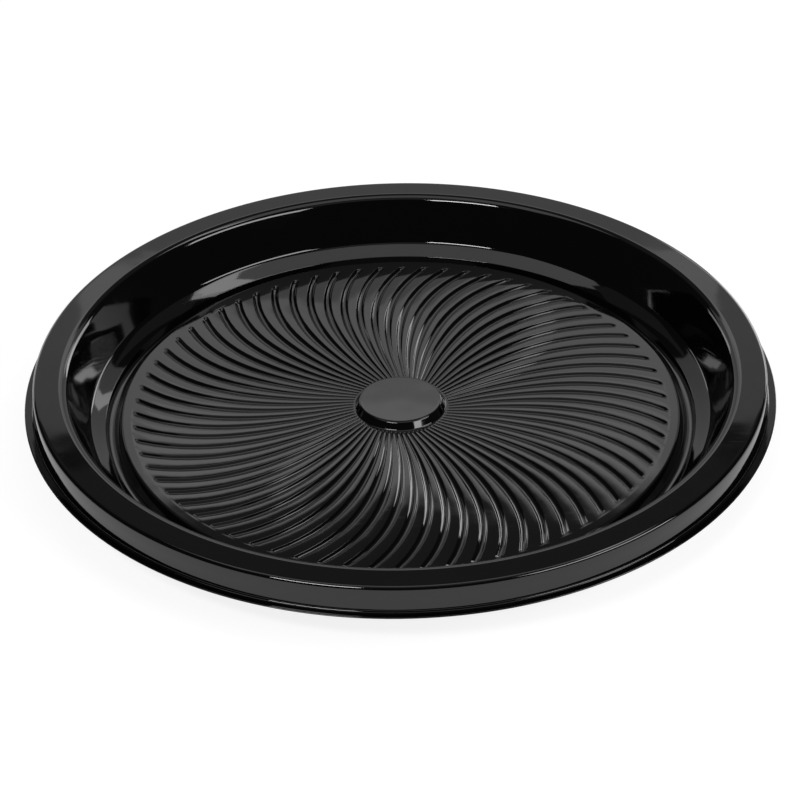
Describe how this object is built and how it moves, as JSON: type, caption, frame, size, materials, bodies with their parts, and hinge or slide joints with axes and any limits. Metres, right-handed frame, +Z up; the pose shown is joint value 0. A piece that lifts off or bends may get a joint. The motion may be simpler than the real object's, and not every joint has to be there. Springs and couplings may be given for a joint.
{
  "type": "serving tray",
  "caption": "Round black plastic catering tray, formed from one sheet, with a flat rim, a steep wall, a floor pressed with a swirl of shallow grooves and a small raised centre boss.",
  "frame": {"origin": "on the tray's axis, at the level of the underside of the foot channel that it stands on", "axes": "+Z up along the tray's axis, out of the open dish; X and Y across the tray, which looks the same all round"},
  "size_m": [0.4572, 0.4572, 0.04],
  "materials": {
    "black_plastic": "high gloss, as formed"
  },
  "bodies": {
    "root": {"tray": "black_plastic"}
  },
  "joints": []
}
